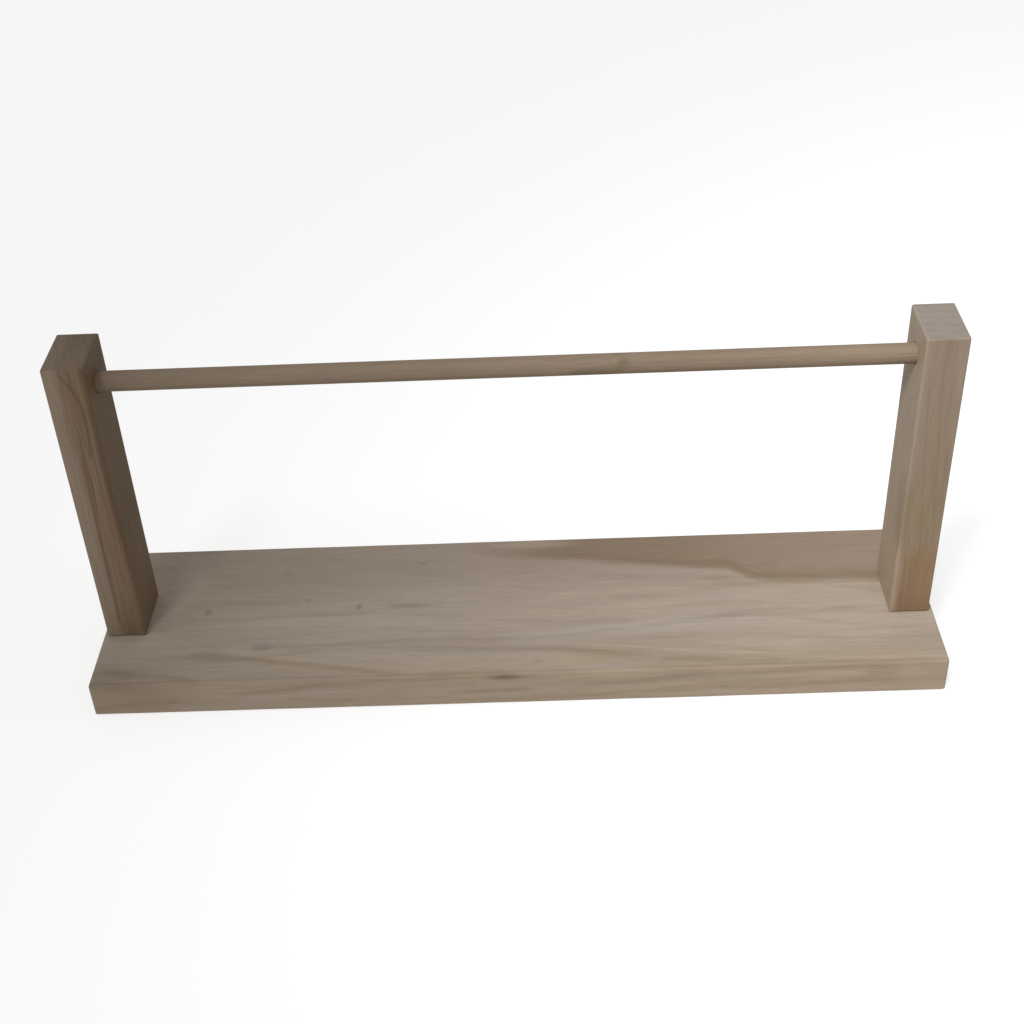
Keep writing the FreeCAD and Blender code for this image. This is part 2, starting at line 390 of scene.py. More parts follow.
def finish_poplar(wood, end_tone, worn_tone, pore_tone):
    """Lays the fine grain, the end grain and the rubbed edges over a piece's colour."""
    tree = wood["tree"]
    colour = tint(tree, product(tree, wood["end"], END_DEPTH), wood["colour"], end_tone)
    end_rings = product(tree, wood["ring"], END_RING_DEPTH, wood["end"])
    colour = tint(tree, end_rings, colour, pore_tone)
    grain = span(tree, wood["fibre"], 0.28, 0.72, 0.92, 1.08)
    colour = vector_calc(tree, "SCALE", colour, None, None, grain)
    colour = tint(tree, product(tree, wood["pores"], PORE_DEPTH), colour, pore_tone)
    worn = wire(tree, "ShaderNodeAttribute", attribute_name="worn").outputs["Fac"]
    colour = tint(tree, product(tree, worn, WORN_DEPTH), colour, worn_tone)
    sanding = noise(tree, wood["place"], SANDING_MARKS, 2.0, wood["seed"] + 11.0)
    saw = noise(tree, wood["place"], SAW_MARKS, 2.0, wood["seed"] + 13.0)
    height = wood["fibre"]
    for relief, share in ((wood["ring"], 0.5), (wood["pores"], -0.7), (sanding, 0.35)):
        height = calc(tree, "MULTIPLY_ADD", relief, share, height)
    height = calc(tree, "MULTIPLY_ADD", product(tree, saw, wood["end"]), 1.2, height)
    bump = wire(tree, "ShaderNodeBump", 0.5, 0.06 * MM, 0.1, height)
    shader = tree.nodes["Principled BSDF"]
    tree.links.new(colour, shader.inputs["Base Color"])
    tree.links.new(span(tree, wood["fibre"], 0.25, 0.75, 0.78, 0.62), shader.inputs["Roughness"])
    tree.links.new(bump.outputs[0], shader.inputs["Normal"])
    shader.inputs["Specular IOR Level"].default_value = 0.25
    return wood["material"]


BOARD_LENGTH, BOARD_DEPTH, BOARD_THICKNESS = 406.4, 103.2, 19.05
BOARD_PALE = (0.422, 0.351, 0.286)
BOARD_DEEP = (0.376, 0.305, 0.240)
BOARD_LINE = (0.284, 0.223, 0.158)
BOARD_FRONT_PAINTED_SHADE = (0.90, 0.86, 0.785)
BOARD_END = (0.300, 0.252, 0.205)
BOARD_WORN = (0.440, 0.365, 0.290)
BOARD_PORE = (0.210, 0.165, 0.120)
BACK_SHADE = (0.318, 0.250, 0.200)
UMBER = (0.190, 0.138, 0.092)
OLIVE = (0.232, 0.184, 0.112)
SMOKE = (0.225, 0.182, 0.142)
ROSE = (0.462, 0.359, 0.318)
CREAM = (0.490, 0.412, 0.322)
LILAC = (0.440, 0.362, 0.346)
MIST = (0.480, 0.412, 0.360)
HONEY = (0.425, 0.335, 0.226)
OCHRE = (0.330, 0.258, 0.160)
RUSSET = (0.300, 0.196, 0.124)
HEARTWOOD = (0.236, 0.169, 0.110)
KNOT = (0.080, 0.056, 0.038)

board = poplar(
    "board_poplar", (0.0, 0.0, 0.0), (0.0, 0.0, 0.0), (0.0, 26.0, -58.0), 5.6, 26.0,
    BOARD_PALE, BOARD_DEEP, BOARD_LINE, 4.0,
)
board_tree = board["tree"]


def measured(wood, shift=None):
    """A piece's own length, width and height in millimetres, from a corner or from its middle."""
    scaled = wire(
        wood["tree"], "ShaderNodeMapping", wood["object"], shift, None, (TO_MM, TO_MM, TO_MM)
    ).outputs[0]
    return wire(wood["tree"], "ShaderNodeSeparateXYZ", scaled).outputs


board_x, board_y, board_z = measured(board, (BOARD_LENGTH / 2, BOARD_DEPTH / 2, 0.0))
from_back = calc(board_tree, "SUBTRACT", BOARD_DEPTH, board_y)
from_top = calc(board_tree, "SUBTRACT", BOARD_THICKNESS, board_z)
on_top = fall(board_tree, from_top, 1.2, 3.6)
on_front = fall(board_tree, board_y, 1.2, 3.0)


# Marks lie on one face of a stick. The fibres fray them, and break their depth of colour.

FRAY_FIBRES = (34.0, 1.9, 1.9)
FRAY_REACH = 5.5
STROKE_FRAY = 0.3
BREAK_FIBRES = (22.0, 1.3, 1.3)
SPECK_CORE = 0.15


def marked_face(wood, along, length, across, depth, shown, seed):
    """One face of a stick, ready for its own marks: its measures, its fibres and where it shows."""
    tree = wood["tree"]
    fray = noise(tree, wood["place"], FRAY_FIBRES, 3.0, seed)
    fray = product(tree, calc(tree, "SUBTRACT", fray, 0.5), FRAY_REACH)
    along = calc(tree, "MULTIPLY_ADD", fray, STROKE_FRAY, along)
    share = calc(tree, "DIVIDE", along, length)
    across = calc(tree, "MULTIPLY_ADD", fray, STROKE_FRAY, across)
    uneven = span(tree, noise(tree, wood["place"], BREAK_FIBRES, 3.0, seed + 2), 0.3, 0.7, 0.5, 1.0)
    return {
        "tree": tree, "along": along, "share": share, "length": length, "across": across,
        "depth": depth, "uneven": uneven, "fray": fray, "shown": shown,
    }


def lay(face, mask, amount, figure, colour):
    """Lays one mark's colour on a face."""
    return tint(face["tree"], product(face["tree"], mask, face["shown"], amount), figure, colour)


def path_curve(face, path):
    """A wandering line's distance across the face, for each place along it."""
    points = [(u / face["length"], v / face["depth"]) for u, v in path]
    points = [(0.0, points[0][1])] + [p for p in points if 0 < p[0] < 1] + [(1.0, points[-1][1])]
    return curve(face["tree"], face["share"], points)


def draw(face, figure, strokes):
    """Draws streaks: path in millimetres, reach to each side, fading ends, colour and its depth."""
    tree = face["tree"]
    for path, before, after, fade, colour, amount in strokes:
        off = calc(tree, "MULTIPLY_ADD", path_curve(face, path), -face["depth"], face["across"])
        mask = rise(tree, off, -before, 0.0)
        mask = product(tree, mask, fall(tree, off, 0.0, after))
        start, stop = path[0][0], path[-1][0]
        mask = product(tree, mask, rise(tree, face["along"], start, start + fade))
        mask = product(tree, mask, fall(tree, face["along"], stop - fade, stop))
        figure = lay(face, product(tree, mask, face["uneven"]), amount, figure, colour)
    return figure


def speck(face, figure, centre, reach, colour, amount):
    """A soft oval mark."""
    tree = face["tree"]
    u = calc(tree, "DIVIDE", calc(tree, "SUBTRACT", face["along"], centre[0]), reach[0])
    v = calc(tree, "DIVIDE", calc(tree, "SUBTRACT", face["across"], centre[1]), reach[1])
    away = calc(tree, "SQRT", calc(tree, "MULTIPLY_ADD", u, u, product(tree, v, v)))
    return lay(face, fall(tree, away, SPECK_CORE, 1.0), amount, figure, colour)


# The board's own figure. Its top is measured from the left end and the back edge, and its
# front edge from the left end and from the top, in millimetres.

TOP_STREAKS = (
    (((14, 63), (90, 62), (180, 62), (290, 58)), 9, 9, 20, CREAM, 0.42),
    (((186, 77), (225, 76), (262, 72), (310, 66)), 8, 9, 26, MIST, 0.7),
    (((40, 32), (90, 32), (150, 34), (200, 35)), 7, 8, 26, SMOKE, 0.12),
    (((234, 31), (262, 34), (290, 36), (322, 38)), 4.5, 5, 16, UMBER, 0.2),
    (((16, 84), (40, 84.4), (74, 86)), 4, 4, 16, OLIVE, 0.26),
    (((64, 88), (100, 92), (140, 95), (210, 97), (262, 92)), 7, 8, 26, HONEY, 0.8),
    (((226, 92), (262, 94), (300, 97), (350, 98), (406, 98)), 11, 9, 26, OCHRE, 0.62),
    (((300, 72.5), (345, 70.5), (402, 69.5)), 4.5, 4.5, 25, ROSE, 0.32),
    (((308, 48), (325, 48), (342, 48)), 3.5, 3.5, 14, ROSE, 0.32),
    (((205, 96), (232, 98), (262, 102)), 3.5, 3.5, 18, ROSE, 0.3),
    (((5, 72), (25, 73), (60, 76)), 5, 5, 18, ROSE, 0.25),
    (((206, 52), (232, 46), (262, 45), (304, 45)), 5, 5, 20, CREAM, 0.5),
    (((244, 56), (265, 55.4), (290, 55)), 3, 3, 12, CREAM, 0.25),
    (((330, 88), (360, 89), (406, 88)), 12, 12, 30, OLIVE, 0.27),
    (((228, 40), (262, 40), (300, 40)), 3.6, 3.6, 20, UMBER, 0.12),
    (((246, 50), (265, 49.4), (284, 48.6)), 2.6, 2.6, 12, UMBER, 0.16),
    (((66, 79.2), (80, 79), (112, 78.8), (137, 77.5), (203, 78), (228, 77), (266, 71.8)),
     3, 3, 26, SMOKE, 0.36),
    (((245, 74.8), (266, 72), (292, 68.1), (311, 64.6), (330, 62.6), (345, 63.6), (388, 62.3)),
     3.2, 3.4, 26, SMOKE, 0.3),
    (((50, 85), (70, 87), (92, 91)), 2.8, 4, 14, OLIVE, 0.26),
    (((54, 84.8), (74, 86.8), (95, 91.2), (118, 95.2), (134, 98.6), (158, 101.7)),
     2.8, 3.6, 18, UMBER, 0.36),
    (((150, 101.5), (175, 102), (205, 102)), 3.6, 3, 20, OLIVE, 0.36),
    (((118, 82), (150, 82.8), (170, 84), (203, 85.4), (222, 86.2), (246, 89.5), (262, 93.4), (281, 97)),
     2.4, 6, 40, OLIVE, 0.4),
    (((262, 96.5), (285, 96), (305, 98.4), (330, 100.2), (355, 101.2), (406, 102.4)),
     3, 4.6, 16, OLIVE, 0.5),
    (((256, 86.3), (285, 85.4), (312, 90), (336, 94)), 2.8, 2.8, 18, OLIVE, 0.18),
    (((2, 93.6), (20, 96), (42, 99.6), (56, 102)), 3.8, 4, 10, OLIVE, 0.55),
    (((30, 57.6), (60, 57), (100, 56.4), (130, 57)), 2.6, 2.2, 24, SMOKE, 0.14),
    (((132, 51.2), (150, 51.2), (172, 51.4)), 4.6, 4.4, 13, UMBER, 0.28),
    (((322, 85), (334, 84.2), (351, 82.4)), 3, 2.8, 12, OLIVE, 0.08),
    (((358, 79.5), (375, 78.4), (404, 77.6)), 2.4, 2.2, 14, SMOKE, 0.3),
    (((281, 19.2), (298, 19.4), (314, 18.6)), 2.6, 2.6, 12, OCHRE, 0.3),
    (((281, 24.8), (298, 25.2), (316, 25)), 2.4, 2.4, 10, UMBER, 0.22),
    (((318, 29), (325, 31.5), (331, 35)), 3, 2.5, 5, OCHRE, 0.4),
    (((206, 81.4), (250, 85.4), (285, 90.6), (315, 93.6), (345, 95.8)), 1.8, 1.4, 18, CREAM, 0.4),
    (((60, 82.8), (87, 85.6), (107, 90), (132, 95)), 1.6, 1.2, 14, CREAM, 0.3),
)
FRONT_STREAKS = (
    (((60, 12), (87, 10), (109, 8.2), (131, 7.6)), 2.2, 2.2, 16, LILAC, 0.7),
    (((176, 7.2), (190, 6.8), (215, 7)), 1.8, 1.8, 12, LILAC, 0.4),
    (((176, 10.8), (190, 10.4), (215, 10.4)), 2, 2, 12, SMOKE, 0.28),
    (((2, 3.6), (20, 4), (42, 5)), 3, 3, 10, UMBER, 0.16),
    (((62, 8.2), (80, 7), (97, 5.8), (106, 4), (125, 2.9), (150, 2.1), (182, 2)),
     2.4, 2.2, 22, OLIVE, 0.45),
    (((100, 15), (118, 13.8), (132, 13.6)), 2.4, 2.4, 12, UMBER, 0.26),
    (((6, 13.4), (30, 12.2), (55, 10.8)), 2.6, 2.6, 14, RUSSET, 0.36),
    (((165, 11.4), (185, 10.4), (215, 9.8)), 2.4, 2.2, 14, OLIVE, 0.28),
    (((165, 14.6), (185, 13.4), (215, 12.8)), 1.6, 1.6, 14, CREAM, 0.3),
    (((205, 15.4), (230, 14.8), (258, 14.4)), 2.2, 2, 12, RUSSET, 0.3),
    (((226, 9.4), (240, 8), (259, 7.2), (281, 4.8), (322, 3.8), (353, 2.1), (378, 1)),
     2.6, 2.4, 22, SMOKE, 0.42),
    (((216, 13), (259, 10.8), (291, 8.8), (316, 7.5), (341, 6.6), (391, 5)), 1.8, 1.8, 20, CREAM, 0.3),
    (((258, 15.4), (281, 13.4), (315, 12), (347, 10.8), (378, 9.6)), 2.2, 2.2, 18, UMBER, 0.2),
    (((10, 10), (40, 9.4), (64, 9)), 1.8, 1.8, 12, OLIVE, 0.16),
    (((300, 13.6), (345, 12.2), (400, 10.4)), 2.2, 2, 20, OLIVE, 0.3),
    (((178, 2.8), (199, 2.4), (226, 3)), 2.2, 2.4, 16, UMBER, 0.18),
)

board_top = marked_face(board, board_x, BOARD_LENGTH, from_back, BOARD_DEPTH, on_top, 21.0)
board_front = marked_face(board, board_x, BOARD_LENGTH, from_top, BOARD_THICKNESS, on_front, 25.0)
back_shade = rise(board_tree, from_back, 43.0, 22.0, 0.55)
figure = tint(board_tree, back_shade, board["colour"], BACK_SHADE)

# The heartwood patch: everything behind a wandering line, fading out on its left, and with
# a paler bay on its right where only the rim stays brown. Depths are from the line inwards.

PATCH_LINE = (
    (0, 10), (168, 13), (203, 16), (228, 18.5), (256, 23), (284, 27), (302, 28.4), (310, 30),
    (316, 34), (323, 38.6), (334, 41.2), (376, 42.6), (406.4, 44),
)
LINE_CLOUDS = (26.0, 7.0, 7.0)
LINE_REACH = 5.0
LINE_LEAN = -0.4
PATCH_DEPTHS = (-3.0, 4.4)
PATCH_LEFT = (162.0, 232.0)
PATCH_AMOUNT = 0.98
BAY_DEPTHS = (5.0, 13.0)
BAY_LEFT = (276.0, 330.0)
BAY_AMOUNT = 0.38
LIP_DEPTHS = (1.0, 5.0)
LIP_LEFT = (280.0, 300.0)
LIP_AMOUNT = 0.32

rim = path_curve(board_top, PATCH_LINE)
rim_wave = noise(board_tree, board["place"], LINE_CLOUDS, 2.0, 31.0)
rim_mm = calc(board_tree, "ADD", board_top["fray"], strayed(board_tree, from_back, rim_wave, LINE_REACH))
rim_mm = calc(board_tree, "MULTIPLY_ADD", from_top, LINE_LEAN, rim_mm)
inside = calc(board_tree, "MULTIPLY_ADD", rim, BOARD_DEPTH, product(board_tree, rim_mm, -1.0))
patch = rise(board_tree, inside, *PATCH_DEPTHS)
patch = product(board_tree, patch, calc(board_tree, "MULTIPLY_ADD", board_top["uneven"], 0.35, 0.65))
patch = product(board_tree, patch, rise(board_tree, board_x, *PATCH_LEFT))
bay = rise(board_tree, inside, *BAY_DEPTHS, BAY_AMOUNT)
bay = product(board_tree, bay, span(board_tree, board_x, *BAY_LEFT, 0.25, 1.0, True))
patch = product(board_tree, patch, calc(board_tree, "SUBTRACT", 1.0, bay))
figure = tint(board_tree, product(board_tree, patch, PATCH_AMOUNT), figure, HEARTWOOD)
lip = product(board_tree, fall(board_tree, inside, *LIP_DEPTHS), patch)
lip = product(board_tree, lip, rise(board_tree, board_x, *LIP_LEFT, LIP_AMOUNT))
figure = tint(board_tree, lip, figure, OLIVE)

figure = draw(board_top, figure, TOP_STREAKS)
figure = draw(board_front, figure, FRONT_STREAKS)
for face, centre, reach, colour, amount in (
    (board_top, (212, 4), (32, 6), CREAM, 0.4),
    # Painted light: lightens the shade on the board in front of the left post's foot.
    (board_top, (16, 70), (30, 16), CREAM, 0.42),
    # Painted shade: the next four darken the front corners at both ends of the board, on its top and its
    # front.
    (board_top, (4, 99), (36, 15), UMBER, 0.36),
    (board_top, (408, 90), (40, 20), UMBER, 0.3),
    (board_front, (14, 8), (44, 20), UMBER, 0.3),
    (board_front, (408, 5), (24, 12), UMBER, 0.2),
    (board_front, (250, 2), (32, 5), CREAM, 0.45),
    (board_top, (80, 79), (8.5, 3.2), SMOKE, 0.5),
    (board_top, (150, 50.8), (13, 2.8), UMBER, 0.2),
    (board_top, (85.5, 22.3), (2, 1.8), UMBER, 0.35),
    (board_top, (156, 17.6), (3.6, 2), UMBER, 0.24),
    (board_top, (214, 94.6), (4.5, 1.8), SMOKE, 0.35),
    (board_top, PIN_KNOTS[1], (5.5, 5), CREAM, 0.4),
    # Painted light: the next two lighten the left post's shadow and the shade at its foot on the board.
    (board_top, (32, 46), (12, 10), CREAM, 0.36),
    (board_top, (37, 21), (13, 26), CREAM, 0.3),
    (board_top, (53, 84), (14, 6), UMBER, 0.26),
    (board_top, (329, 27), (13, 6), UMBER, 0.22),
    (board_top, (308, 37), (14, 4), UMBER, 0.2),
    (board_top, PIN_KNOTS[0], (2.8, 3.4), UMBER, 0.4),
    (board_top, PIN_KNOTS[1], (3.8, 3.2), UMBER, 0.36),
    (board_top, PIN_KNOTS[2], (2.6, 3.6), UMBER, 0.5),
    (board_front, (198, 2.2), (14, 3), UMBER, 0.5),
    (board_front, (198, 2), (9, 1.8), KNOT, 0.3),
    (board_front, (376, 5.5), (14, 8), OLIVE, 0.35),
    (board_front, (39, 11.5), (4, 1.7), UMBER, 0.2),
    (board_front, (302, 12.2), (4, 1.6), UMBER, 0.2),
):
    figure = speck(face, figure, centre, reach, colour, amount)
# Painted shade: the board's front face is made darker and warmer than its top.
board["colour"] = vector_calc(
    board_tree, "MULTIPLY", figure, tint(board_tree, on_front, (1.0, 1.0, 1.0), BOARD_FRONT_PAINTED_SHADE)
)
board_finish = finish_poplar(board, BOARD_END, BOARD_WORN, BOARD_PORE)

BLANK_TREE = planed_blank_tree()
countersink = [
    (-RUN_OUT, 0.0),
    (-RUN_OUT, COUNTERSINK_RADIUS),
    (COUNTERSINK_STRAIGHT, COUNTERSINK_RADIUS),
    (COUNTERSINK_STRAIGHT + (COUNTERSINK_RADIUS - HOLE_RADIUS) / HEAD_SLOPE, HOLE_RADIUS),
    (HOLE_END, HOLE_RADIUS),
    (HOLE_END, 0.0),
]
board_low, board_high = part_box("base_board")
board_cuts = [(countersink, Matrix.Translation((x, y, 0.0))) for x in SCREW_ROWS for y in SCREW_LINES]
pin_hole = [(-PIN_DEPTH, 0.0), (PIN_FLARE, PIN_RADIUS), (2 * PIN_FLARE, 0.0)]
board_cuts += [
    (pin_hole, Matrix.Translation((board_low.x + x * MM, board_high.y - y * MM, board_high.z)))
    for x, y in PIN_KNOTS
]
base_board = planed(
    "base_board_sanded", "base_board", BOARD_EDGE, BOARD_WANDER, BOARD_CELL, 1.0, board_cuts, board_finish,
)
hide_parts("base_board")
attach(base_board, "root")


# ---- Posts ---------------------------------------------------------------------------------
# Two short lengths of squared poplar, standing with the grain upright, glued and screwed to
# the board from below. The left one is bored blind for the rod and is mostly brown
# heartwood; the right one is bored through, so that the rod draws out on that side.

POST_EDGE = 0.8 * MM
POST_WANDER = 0.6
POST_CELL = 5 * MM
ROD_Z = 155.575 * MM
BORE_RADIUS = 4.8425 * MM
BORE_EASE = 0.35 * MM
BLIND_DEPTH = 12.7 * MM
EASED_LENGTH = 3 * MM
LEAD_IN = 1 * MM
PILOT_RADIUS = 1.5 * MM
PILOT_POINT = 4 * MM
SCREW_TOP = 39.1 * MM
UPRIGHT = (0.0, math.radians(90), 0.0)


def bore(x_mouth, x_end):
    """A drilled hole along X, its mouth's rim eased."""
    run = x_end - x_mouth
    way = 1 if run > 0 else -1
    depth = abs(run)
    profile = [
        (-LEAD_IN, 0.0),
        (-LEAD_IN, BORE_RADIUS + BORE_EASE),
        (0.0, BORE_RADIUS + BORE_EASE),
        (BORE_EASE, BORE_RADIUS),
        (depth, BORE_RADIUS),
        (depth, 0.0),
    ]
    turn = Matrix.Rotation(math.radians(90) * way, 4, "Y")
    return profile, Matrix.Translation((x_mouth, 0.0, ROD_Z)) @ turn


def pilots(x, floor):
    """The two holes up from a post's foot that its screws cut their thread in."""
    profile = [
        (floor - LEAD_IN, 0.0),
        (floor - LEAD_IN, PILOT_RADIUS),
        (SCREW_TOP - PILOT_POINT, PILOT_RADIUS),
        (SCREW_TOP, 0.0),
    ]
    return [(profile, Matrix.Translation((x, y, 0.0))) for y in SCREW_LINES]


left_low, left_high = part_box("left_post")
right_low, right_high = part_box("right_post")

POST_TOP, POST_LENGTH, POST_WIDTH = 171.45, 152.4, 19.05


def post_front(wood, x, y, z, left_side, seed):
    """A post's front face: marks on it are measured from its top and from its left side."""
    tree = wood["tree"]
    down, across = calc(tree, "SUBTRACT", POST_TOP, z), calc(tree, "SUBTRACT", x, left_side)
    shown = fall(tree, y, -14.6, -12.0)
    return marked_face(wood, down, POST_LENGTH, across, POST_WIDTH, shown, seed)


# The left post's figure: brown heartwood from near its outer edge inwards, with dark and
# russet bands, and painted shade on its inner face.

LEFT_SIDE = -200.8
LEFT_PALE, LEFT_DEEP, LEFT_LINE = (0.302, 0.232, 0.172), (0.269, 0.200, 0.140), (0.158, 0.103, 0.063)
LEFT_HEART = (0.208, 0.140, 0.088)
LEFT_BAND = (0.125, 0.080, 0.046)
LEFT_RUSSET = (0.225, 0.132, 0.080)
LEFT_INNER_PAINTED_SHADE = (0.112, 0.066, 0.031)
LEFT_DARK = (0.118, 0.076, 0.045)
LEFT_END_FRONT, LEFT_END_BACK = (0.190, 0.143, 0.105), (0.148, 0.114, 0.086)
LEFT_WORN, LEFT_PORE = (0.230, 0.172, 0.120), (0.100, 0.066, 0.040)

left = poplar(
    "left_post_poplar", UPRIGHT, (0.0, 0.0, 0.0), (0.0, -18.0, 262.0), 3.4, 10.0,
    LEFT_PALE, LEFT_DEEP, LEFT_LINE, 40.0,
)
left_tree = left["tree"]
left_x, left_y, left_z = measured(left)
heart_wave = noise(left_tree, left["place"], (46.0, 8.0, 8.0), 2.0, 44.0)
heart_edge = strayed(left_tree, left_x, heart_wave, 5.0)
heart = rise(left_tree, heart_edge, -195.2, -192.2)
stain(left, product(left_tree, heart, 0.92), LEFT_HEART)
for clouds, seed, full, amount, colour in (
    ((70.0, 2.2, 2.2), 47.0, 0.68, 0.7, LEFT_BAND),
    ((30.0, 6.0, 6.0), 49.0, 0.66, 0.55, LEFT_RUSSET),
):
    bands = span(left_tree, noise(left_tree, left["place"], clouds, 2.0, seed), 0.5, full, 0.0, amount)
    stain(left, product(left_tree, bands, heart), colour)
# Painted shade on the post's inner face, stronger higher up.
painted_shade_face = rise(left_tree, left_x, -185.0, -182.0)
painted_shade_height = span(left_tree, left_z, 35.0, 85.0, 0.42, 0.92, True)
stain(left, product(left_tree, painted_shade_height, painted_shade_face), LEFT_INNER_PAINTED_SHADE)
left_front = post_front(left, left_x, left_y, left_z, LEFT_SIDE, 51.0)
left["colour"] = draw(left_front, left["colour"], (
    (((0, 7.2), (6, 9.5), (13, 12.6), (25, 14.8), (33, 14.3), (48, 12.6)), 0.9, 1.4, 5, LEFT_DARK, 0.75),
    (((40, 9.4), (60, 8.7), (90, 8.3), (120, 7.7), (152, 7)), 1.1, 1.4, 14, LEFT_DARK, 0.7),
    (((44, 12.4), (70, 11.4), (100, 10.2), (140, 9.6)), 0.7, 0.7, 14, RUSSET, 0.55),
    (((2, 3.4), (30, 4.2), (60, 4), (96, 3.4)), 0.7, 0.7, 14, LEFT_DARK, 0.25),
    (((58, 15.2), (90, 14.6), (130, 13.4)), 0.9, 1.1, 16, LEFT_DARK, 0.4),
    (((4, 16.8), (24, 17.4), (60, 17.8)), 0.8, 0.8, 14, LEFT_DARK, 0.35),
))
left_end = tint(
    left_tree, rise(left_tree, left_y, -8.0, 14.0), LEFT_END_FRONT, LEFT_END_BACK,
)
left_finish = finish_poplar(left, left_end, LEFT_WORN, LEFT_PORE)

# The right post's figure: amber at the foot of its front face with a sage band above it,
# rosy along the front inner corner, and a plainer inner face.

RIGHT_SIDE = 181.75
RIGHT_PALE, RIGHT_DEEP, RIGHT_LINE = (0.280, 0.217, 0.160), (0.249, 0.186, 0.130), (0.182, 0.132, 0.086)
RIGHT_AMBER = (0.240, 0.151, 0.082)
RIGHT_PLAIN = (0.318, 0.247, 0.182)
RIGHT_ROSY = (0.372, 0.275, 0.196)
RIGHT_SAGE = (0.226, 0.170, 0.096)
RIGHT_DARK = (0.172, 0.124, 0.082)
RIGHT_END, RIGHT_WORN, RIGHT_PORE = (0.262, 0.239, 0.220), (0.330, 0.268, 0.205), (0.150, 0.110, 0.075)

right = poplar(
    "right_post_poplar", UPRIGHT, (0.0, 0.0, 0.0), (0.0, -72.0, -184.0), 6.4, 10.0,
    RIGHT_PALE, RIGHT_DEEP, RIGHT_LINE, 60.0,
)
right_tree = right["tree"]
right_x, right_y, right_z = measured(right)
amber_wave = noise(right_tree, right["place"], (24.0, 5.0, 5.0), 2.0, 64.0)
amber_edge = strayed(right_tree, right_z, amber_wave, 22.0)
amber = rise(right_tree, amber_edge, 66.0, 52.0)
amber_front = span(right_tree, right_y, 2.0, -11.0, 0.15, 1.0, True)
amber_side = span(right_tree, right_x, 182.6, 185.6, 0.25, 1.0, True)
stain(right, product(right_tree, amber, amber_front, amber_side, 0.9), RIGHT_AMBER)
plain_side = rise(right_tree, right_x, 183.6, 182.2)
stain(right, product(right_tree, plain_side, 0.8), RIGHT_PLAIN)
rosy = rise(right_tree, right_z, 80.0, 40.0)
rosy = product(right_tree, rosy, rise(right_tree, right_x, 186.6, 182.6, 0.7))
stain(right, rosy, RIGHT_ROSY)
sage = rise(right_tree, amber_edge, 54.0, 68.0)
sage = product(right_tree, sage, fall(right_tree, amber_edge, 82.0, 104.0))
stain(right, product(right_tree, sage, amber_front, 0.62), RIGHT_SAGE)
right_front = post_front(right, right_x, right_y, right_z, RIGHT_SIDE, 71.0)
right["colour"] = draw(right_front, right["colour"], (
    (((4, 3), (50, 5.6), (90, 8.6), (136, 11)), 1.1, 1.1, 20, RIGHT_DARK, 0.34),
    (((0, 8.4), (40, 10.4), (80, 13.2), (124, 16)), 0.9, 1.2, 20, RIGHT_DARK, 0.4),
    (((10, 13.4), (46, 14.8), (84, 17)), 0.9, 0.9, 16, RIGHT_DARK, 0.3),
    (((70, 4.6), (110, 5.4), (148, 5.8)), 0.8, 1.3, 14, RUSSET, 0.5),
    (((96, 14.2), (120, 13.4), (150, 12.2)), 0.9, 1.2, 14, RUSSET, 0.42),
))
right_finish = finish_poplar(right, RIGHT_END, RIGHT_WORN, RIGHT_PORE)

left_post = planed(
    "left_post_sanded", "left_post", POST_EDGE, POST_WANDER, POST_CELL, 2.0,
    [bore(left_high.x, left_high.x - BLIND_DEPTH)] + pilots(SCREW_ROWS[0], left_low.z), left_finish,
)
right_post = planed(
    "right_post_sanded", "right_post", POST_EDGE, POST_WANDER, POST_CELL, 3.0,
    [
        bore(right_low.x, right_high.x + RUN_OUT),
        bore(right_high.x, right_high.x - EASED_LENGTH),
    ] + pilots(SCREW_ROWS[1], right_low.z), right_finish,
)
for piece, node in ((left_post, "left_post"), (right_post, "right_post")):
    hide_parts(node)
    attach(piece, "root")


# ---- Rod -----------------------------------------------------------------------------------
# A 3/8 inch hardwood dowel that the ribbon spools turn on. It is a machined stick with its
# ends chamfered, a running fit in both posts, and draws out through the right one.

ROD_STEPS = 64
ROD_RING = 3 * MM
ROD_CHAMFER = 0.8 * MM
ROD_UNROUND = 0.05 * MM
ROD_FOLD = math.radians(30)

rod_low, rod_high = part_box("spool_rod")
rod_radius = (rod_high.z - rod_low.z) / 2
rod_length = rod_high.x - rod_low.x
ring_count = round((rod_length - 2 * ROD_CHAMFER) / ROD_RING)
rod_profile = [(0.0, 0.0), (0.0, rod_radius - ROD_CHAMFER)]
rod_profile += [
    (ROD_CHAMFER + (rod_length - 2 * ROD_CHAMFER) * i / ring_count, rod_radius)
    for i in range(ring_count + 1)
]
rod_profile += [(rod_length, rod_radius - ROD_CHAMFER), (rod_length, 0.0)]
rod_shape = bmesh.new()
rod_frame = Matrix.Translation((rod_low.x, 0.0, ROD_Z)) @ Matrix.Rotation(math.radians(90), 4, "Y")
turned(rod_shape, rod_profile, rod_frame, ROD_STEPS)
for vertex in rod_shape.verts:
    off_axis = vertex.co - Vector((vertex.co.x, 0.0, ROD_Z))
    if off_axis.length > rod_radius / 2:
        angle = math.atan2(off_axis.z, off_axis.y)
        flat = 0.5 + 0.25 * math.sin(2 * angle + vertex.co.x * 9)
        flat += 0.25 * math.sin(3 * angle - vertex.co.x * 23)
        vertex.co -= off_axis.normalized() * ROD_UNROUND * flat
bmesh.ops.recalc_face_normals(rod_shape, faces=rod_shape.faces)
for face in rod_shape.faces:
    face.smooth = True
for edge in rod_shape.edges:
    edge.smooth = edge.calc_face_angle() < ROD_FOLD
rod_mesh = bpy.data.meshes.new("spool_rod_dowel")
rod_shape.to_mesh(rod_mesh)
rod_shape.free()
spool_rod = placed("spool_rod_dowel", rod_mesh)

# The rod's figure: pale and plain, with one small knot past its middle. Marks lie on the
# side that faces up and forwards, and are measured from its left end and its upper edge.

